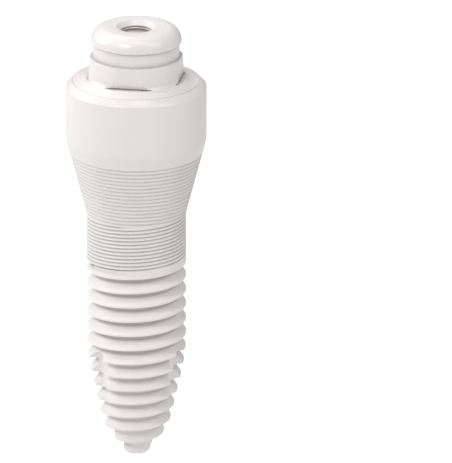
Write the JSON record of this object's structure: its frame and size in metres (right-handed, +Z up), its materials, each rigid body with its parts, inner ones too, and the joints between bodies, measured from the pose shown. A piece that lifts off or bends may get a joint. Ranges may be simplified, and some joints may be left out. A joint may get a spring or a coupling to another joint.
{
  "type": "dental implant",
  "caption": "White ceramic dental implant: tapered cutting screw, ring-grooved neck and polished collar, with a rounded abutment on wrench flats and a tapped centre hole.",
  "frame": {"origin": "on the axis at bone level, where the polished collar ends and the ring grooves begin", "axes": "+Z runs up along the axis from the apex to the cap; X and Y are square to the wrench flats, and the flat towards -Y is the one that faces the viewer"},
  "size_m": [0.0056, 0.0056, 0.0181],
  "materials": {
    "body_ceramic": "warm white, polished collar, matt below",
    "head_ceramic": "warm white, satin",
    "titanium": "dark brownish grey titanium, turned"
  },
  "bodies": {
    "root": {"implant_body": "body_ceramic", "abutment": "head_ceramic", "insert_stud": "titanium"}
  },
  "joints": []
}
